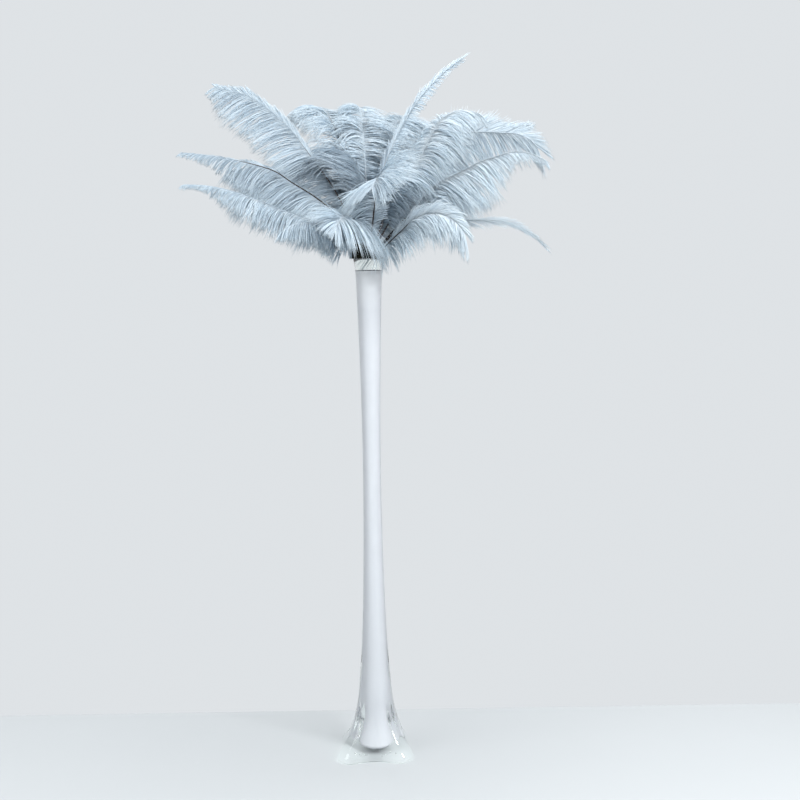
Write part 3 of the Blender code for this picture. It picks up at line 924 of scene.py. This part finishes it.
    def _cover(self, along: np.ndarray, paths: np.ndarray) -> np.ndarray:
        """How far barbs are moved to lie over the quill where its horn is pale.

        Args:
            along: The barbs' places as shares of the quill.
            paths: (barbs, steps, 3) their centre lines.

        Returns:
            (barbs, steps, 3) the shifts.
        """
        lift = (smooth(along, *self.plume.shade.value) * self._thickness(along))[:, None]
        risen = self._sample(self.faces, along) * self.cover_rise * lift
        shift = np.repeat(risen[:, None], self.barb_steps, 1)
        shift[:, 0] -= unit(paths[:, 1] - paths[:, 0]) * self.cover_start * lift
        return shift

    def _wander(self, along: np.ndarray) -> np.ndarray:
        """Two slow waves along the vane, so that it does not lie flat."""
        waves = []
        for _ in range(2):
            phases = self.random.uniform(0, 2 * math.pi, len(self.wave_turns))
            waves.append(sum(np.sin(2 * math.pi * turn * along + phase)
                             for turn, phase in zip(self.wave_turns, phases)) / 2)
        return np.array(waves)

    def _lengths(self, along: np.ndarray) -> np.ndarray:
        """How long the barbs are at places along the vane, from 0 at its start to 1 at the tip."""
        growing = self.plume.base + (1 - self.plume.base) * smooth(along, 0.0, self.full_from)
        shrunk = (1 - self.plume.tip) * smooth(along, *self.plume.shrinks)
        return self.plume.barb * MM * growing * (1 - shrunk)

    def _paths(self, rows: dict, vane: Vane, hand: Hand, start: float) -> np.ndarray:
        """The centre lines of barbs, from the quill out.

        Args:
            rows: For each barb, its place along the vane, how far its sweep and its fold are off
                in degrees, how strongly it hangs, how far it curls forward and how long it is,
                against the plume's own.
            vane: The vane that they are in.
            hand: The side of the quill that it is on.
            start: The share of the quill that is bare.

        Returns:
            (barbs, steps, 3) points.
        """
        along = rows["along"]
        place = start + along * (1 - start)
        point, tangent, side, face = (self._sample(row, place)
                                      for row in (self.points, self.tangents, self.sides, self.faces))
        forward = (self.plume.splay - vane.sweep) * smooth(along, self.splay_from, 1.0)
        sweep = np.radians(vane.sweep + forward + rows["sweep"])[:, None]
        fold = np.radians(vane.fold + rows["fold"])[:, None]
        outward = hand.value * side * np.cos(fold) - face * np.sin(fold)
        heading = np.cos(sweep) * outward + np.sin(sweep) * tangent
        steps = self.barb_steps - 1
        step = (self._lengths(along) * vane.share * rows["length"] / steps)[:, None]
        down = np.array((0.0, 0.0, -1.0)) * (vane.hang * rows["hang"])[:, None]
        bend = tangent * rows["curl"][:, None] + down
        paths = [point]
        for number in range(steps):
            paths.append(paths[-1] + unit(heading + bend * (number + 0.5) / steps) * step)
        return np.stack(paths, axis=1)


# ---------------------------------------------------------------- vase and foam


@dataclass
class Vase:
    """The cased glass vase: a clear outside drawn out into four toes, and a white inner layer.

    outline holds (height, side radius, toe radius) and hollow (height, radius), in mm. toe_reach is
    how far each toe is drawn out, anticlockwise from the back right one. pooled holds how much
    thicker the white layer is at the heights in pooled_at, in mm, and pooled_below how much at its
    bottom. bubble_groups hold the middle of each group in mm and how many bubbles it has, and
    bubble_spread how far they lie from it in mm.
    """

    outline: tuple = (
        (0, 40.0, 61.0), (3.5, 47.5, 66.5), (8, 48.0, 66.0), (13, 46.0, 63.0), (19, 43.0, 57.5),
        (28, 39.0, 49.5), (40, 34.5, 41.5), (58, 28.8, 34.0), (80, 24.4, 28.0), (114, 21.2, 21.8),
        (157, 18.0, 18.0), (213, 15.6, 15.6), (285, 13.7, 13.7), (427, 12.4, 12.4), (569, 14.6, 14.6),
        (640, 16.7, 16.7), (682, 18.6, 18.6), (697, 20.6, 20.6), (700, 21.0, 21.0),
    )
    hollow: tuple = (
        (700, 18.4), (682, 15.4), (640, 13.0), (569, 10.8), (427, 8.7), (285, 9.8), (213, 10.8),
        (157, 11.4), (114, 11.6), (80, 11.6), (45, 12.5), (30, 16.5), (20, 21.0), (14, 23.5), (11, 16.0),
    )
    toe_reach: tuple = (0.5, 0.75, 1.08, 1.0)
    segments: int = 96
    toe_start: float = math.radians(36)
    white_top: float = 684 * MM
    layer: float = 0.7 * MM
    pooled_at: tuple = (0, 12, 20, 32, 58, 112)
    pooled: tuple = (0.0, 0.4, 1.2, 2.8, 2.8, 0.0)
    pooled_below: float = 2.6 * MM
    overlap: float = 0.15 * MM
    outside_steps: int = 5
    inside_steps: int = 4
    bubble_groups: tuple = (
        (-16, -31, 7.5, 8), (-27, -33, 7.0, 4), (13, -34, 7.5, 7), (22, -30, 8.0, 3),
    )
    bubble_spread: tuple = (3.4, 1.6, 1.1)
    bubble_radius: tuple = (0.35, 0.95)
    bubble_width: tuple = (1.0, 1.9)
    bubble_height: float = 0.8

    def build_glass(self) -> bpy.types.Object:
        """The clear body: outside, rim and hollow, closed at the bottom of both."""
        rings = self._fine(self.outline, self.outside_steps)
        rings += self._fine([(z, radius, radius) for z, radius in self.hollow], self.inside_steps)
        made = self._stack("vase_clear_glass", rings)
        self._add_bubbles(made)
        return made

    def build_white(self) -> bpy.types.Object:
        """The white layer, from the lip down round the hollow's bottom, embedded in the glass."""
        inner = [(z * MM, radius * MM) for z, radius in self.hollow if z * MM < self.white_top]
        inner.insert(0, (self.white_top, self._radius_at(self.white_top)))
        extra = np.interp([z / MM for z, _ in inner], self.pooled_at, self.pooled) * MM
        outer = [(z - self.pooled_below if number == len(inner) - 1 else z, radius + self.layer + more)
                 for number, ((z, radius), more) in enumerate(zip(inner, extra))]
        inside = [(z, radius - self.overlap) for z, radius in inner]
        path = list(reversed(outer)) + inside
        rings = self._fine([(z / MM, radius / MM, radius / MM) for z, radius in path],
                           self.inside_steps)
        return self._stack("vase_white_layer", rings)

    def _add_bubbles(self, made: bpy.types.Object) -> None:
        """Joins small air bubbles to the clear body, in groups in the foot, facing into themselves."""
        chance = np.random.default_rng(5)
        bubbles = []
        for x, y, z, count in self.bubble_groups:
            for _ in range(count):
                place = np.array((x, y, z)) + chance.normal(0, 1, 3) * self.bubble_spread
                radius = chance.uniform(*self.bubble_radius) * MM
                deselect_all()
                bpy.ops.mesh.primitive_ico_sphere_add(subdivisions=2, radius=radius,
                                                      location=tuple(place * MM))
                width = chance.uniform(*self.bubble_width)
                bpy.ops.transform.resize(value=(width, 1.0, self.bubble_height))
                bubble = fresh("bubble")
                with editing(bubble):
                    bpy.ops.mesh.flip_normals()
                bubble.data.shade_smooth()
                bubbles.append(bubble)
        deselect_all()
        for piece in (*bubbles, made):
            piece.select_set(True)
        bpy.context.view_layer.objects.active = made
        bpy.ops.object.join()

    def _radius_at(self, height: float) -> float:
        """The hollow's radius at a height."""
        heights = [z * MM for z, _ in reversed(self.hollow)]
        return float(np.interp(height, heights, [radius * MM for _, radius in reversed(self.hollow)]))

    @staticmethod
    def _fine(rows: tuple | list, steps: int) -> list:
        """A smooth curve through (height, side, toe) rows in mm, with steps to each span, in metres."""
        return [tuple(row) for row in curve_through(np.array(rows, float) * MM, steps)]

    def _toe_shape(self, angle: float) -> float:
        """0 in the middle of a side of the foot and 1 at a toe, with straight sides between."""
        from_side = min(abs((angle + math.pi / 4) % (math.pi / 2) - math.pi / 4), self.toe_start)
        return (1 / math.cos(from_side) - 1) / (1 / math.cos(self.toe_start) - 1)

    def _stack(self, name: str, rings: list) -> bpy.types.Object:
        """A closed body of level rings, extruded one from another, with flat ends.

        Args:
            name: The object's name.
            rings: (height, side radius, toe radius) in metres.

        Returns:
            The object, with its shape in its mesh.
        """
        deselect_all()
        height, side, _ = rings[0]
        bpy.ops.mesh.primitive_circle_add(vertices=self.segments, radius=side, fill_type="NGON",
                                          location=(0, 0, height))
        made = fresh(name)
        with editing(made):
            for (low, was, _), (high, now, _) in zip(rings, rings[1:]):
                bpy.ops.mesh.extrude_region_move(TRANSFORM_OT_translate={"value": (0, 0, high - low)})
                share = now / was
                bpy.ops.transform.resize(value=(share, share, 1), center_override=(0, 0, high))
        self._draw_toes(made, rings)
        with editing(made):
            bpy.ops.mesh.normals_make_consistent(inside=False)
        made.data.shade_smooth()
        return made

    def _draw_toes(self, made: bpy.types.Object, rings: list) -> None:
        """Draws the foot's rings out towards its four toes."""
        count = self.segments
        for number, (_, side, toe) in enumerate(rings):
            if toe - side < 0.01 * MM:
                continue
            for vertex in list(made.data.vertices)[number * count:(number + 1) * count]:
                angle = math.atan2(vertex.co.y, vertex.co.x)
                reach = self.toe_reach[int(angle % (2 * math.pi) / (math.pi / 2)) % 4]
                share = 1 + (toe / side - 1) * self._toe_shape(angle) * reach
                vertex.co.x *= share
                vertex.co.y *= share

    def dress(self, clear: bpy.types.Object, white: bpy.types.Object, effects: Effects) -> None:
        """Gives both layers their finishes and puts them in place of the solid."""
        clear.data.materials.append(ClearGlassFinish().build(effects))
        white.data.materials.append(WhiteGlassFinish().build(effects))
        show(clear, GLASS_SLOT, "vase")
        show(white, GLASS_SLOT)


@dataclass
class Foam:
    """The olive foam dome that rests on the mouth."""

    mouth: Vector
    radius: float = 26 * MM
    pit_size: float = 2.2 * MM
    pit_depth: float = 0.5 * MM

    def build(self) -> bpy.types.Object:
        """The dome: a ball cut level below, pitted all over."""
        deselect_all()
        bpy.ops.mesh.primitive_uv_sphere_add(segments=96, ring_count=64, radius=self.radius,
                                             location=self.mouth)
        made = fresh("foam_dome")
        with editing(made):
            bpy.ops.mesh.bisect(plane_co=tuple(self.mouth), plane_no=(0, 0, -1), use_fill=True,
                                clear_outer=True)
            bpy.ops.mesh.select_all(action="SELECT")
            bpy.ops.mesh.normals_make_consistent(inside=False)
        cells = bpy.data.textures.new("foam_cells", "CLOUDS")
        cells.noise_scale = self.pit_size
        pits = made.modifiers.new("pits", "DISPLACE")
        pits.texture = cells
        pits.texture_coords = "GLOBAL"
        pits.strength = -self.pit_depth
        pits.mid_level = 0.0
        bpy.ops.object.modifier_apply(modifier=pits.name)
        made.data.shade_smooth()
        return made

    def dress(self, made: bpy.types.Object, effects: Effects) -> None:
        """Gives the foam its finish and puts it in place of its solid."""
        made.data.materials.append(FoamFinish().build(effects))
        show(made, FOAM_SLOT, "foam")


# ---------------------------------------------------------------- studio


@dataclass(frozen=True)
class Lamp:
    """A soft square lamp: where it hangs, what it points at, its sides in metres and its watts."""

    name: str
    place: tuple
    target: tuple
    size: float
    power: float

    def build(self) -> None:
        """Hangs the lamp."""
        data = bpy.data.lights.new(self.name, "AREA")
        data.shape = "SQUARE"
        data.size = self.size
        data.energy = self.power
        lamp = bpy.data.objects.new(self.name, data)
        lamp.location = self.place
        towards = Vector(self.target) - Vector(self.place)
        lamp.rotation_euler = towards.to_track_quat("-Z", "Y").to_euler()
        bpy.context.scene.collection.objects.link(lamp)


@dataclass
class Studio:
    """The camera, the soft lights, the pale surroundings and the table top."""

    eye: tuple = (0.02835, -1.79529, 0.69533)
    pitch: float = math.radians(6.081)
    yaw: float = math.radians(0.39)
    roll: float = math.radians(-0.788)
    focal_px: float = 1300.0
    image_px: float = 800.0
    sensor_mm: float = 36.0
    wall: tuple = (0.735, 0.765, 0.79)
    room_light: float = 0.72
    table_top: float = 0.3 * MM
    table_back: float = 0.173
    table_front: float = -1.55
    table_half: float = 1.3
    table_thick: float = 0.03
    table_edge: float = 2 * MM
    lamps: tuple = (
        Lamp("key", (1.25, -1.55, 1.75), (0.0, 0.0, 0.75), 1.2, 58.0),
        Lamp("fill", (-1.7, -1.2, 1.5), (0.0, 0.0, 0.6), 1.8, 26.0),
        Lamp("top", (0.1, 0.3, 2.4), (0.0, 0.0, 0.8), 1.6, 32.0),
    )

    def build(self, effects: Effects) -> None:
        """Makes everything that is not part of the object."""
        self._camera()
        self._world()
        self._table(effects)
        for lamp in self.lamps:
            lamp.build()

    def _camera(self) -> None:
        """Looks from the photograph's place with its lens, tilted as it was held."""
        right = Vector((math.cos(self.yaw), -math.sin(self.yaw), 0.0))
        ahead = Vector((math.sin(self.yaw) * math.cos(self.pitch),
                        math.cos(self.yaw) * math.cos(self.pitch), -math.sin(self.pitch)))
        above = right.cross(ahead)
        across = right * math.cos(self.roll) + above * math.sin(self.roll)
        upward = above * math.cos(self.roll) - right * math.sin(self.roll)
        data = bpy.data.cameras.new("photo_view")
        data.sensor_width = self.sensor_mm
        data.lens = self.focal_px / self.image_px * self.sensor_mm
        camera = bpy.data.objects.new("photo_view", data)
        bpy.context.scene.collection.objects.link(camera)
        turned = Matrix((across, upward, -ahead)).transposed().to_4x4()
        camera.matrix_world = Matrix.Translation(self.eye) @ turned
        bpy.context.scene.camera = camera

    def _world(self) -> None:
        """A plain pale wall colour all round, that lights the object a little less than it shows."""
        world = bpy.data.worlds.new("pale_room")
        world.use_nodes = True
        tree = Tree(world.node_tree)
        rays = tree.node("LightPath").outputs
        seen = tree.math("MAXIMUM", rays["Is Camera Ray"], rays["Is Transmission Ray"])
        strength = tree.node("MapRange", Value=seen, To_Min=self.room_light, To_Max=1.0)
        background = tree.nodes["Background"]
        tree.put(background.inputs["Color"], self.wall)
        tree.put(background.inputs["Strength"], strength.outputs["Result"])
        bpy.context.scene.world = world
        bpy.context.scene.view_settings.view_transform = "Standard"

    def _table(self, effects: Effects) -> None:
        """The table top that the vase stands on, as a slab with rounded edges."""
        deselect_all()
        depth = self.table_back - self.table_front
        middle = (0.0, (self.table_back + self.table_front) / 2,
                  self.table_top - self.table_thick / 2)
        bpy.ops.mesh.primitive_cube_add(size=1.0, location=middle)
        bpy.context.object.scale = (2 * self.table_half, depth, self.table_thick)
        table = fresh("table_top")
        edge = table.modifiers.new("edge", "BEVEL")
        edge.width = self.table_edge
        edge.segments = 3
        bpy.ops.object.modifier_apply(modifier=edge.name)
        table.data.shade_smooth()
        table.data.set_sharp_from_angle(angle=math.radians(40))
        table.data.materials.append(TableFinish().build(effects))


# ---------------------------------------------------------------- all of it


def main() -> None:
    """Builds the studio and every piece, and logs how many faces each shown piece has."""
    logging.basicConfig(level=logging.INFO, format="%(name)s %(message)s")
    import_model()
    effects = Effects()
    Studio().build(effects)
    mouth = Vector((0.0, 0.0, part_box("foam")[1].z - Foam.radius))
    vase = Vase()
    clear, white = vase.build_glass(), vase.build_white()
    vase.dress(clear, white, effects)
    report(clear)
    report(white)
    foam = Foam(mouth)
    dome = foam.build()
    foam.dress(dome, effects)
    report(dome)
    barbs, horn = BarbFinish().build(effects), QuillFinish().build(effects)
    for number, plume in enumerate(PLUMES):
        feather = Feather(plume, mouth, seed=101 + number)
        report(feather.dress(feather.build(), barbs, horn))


if __name__ == "__main__":
    main()
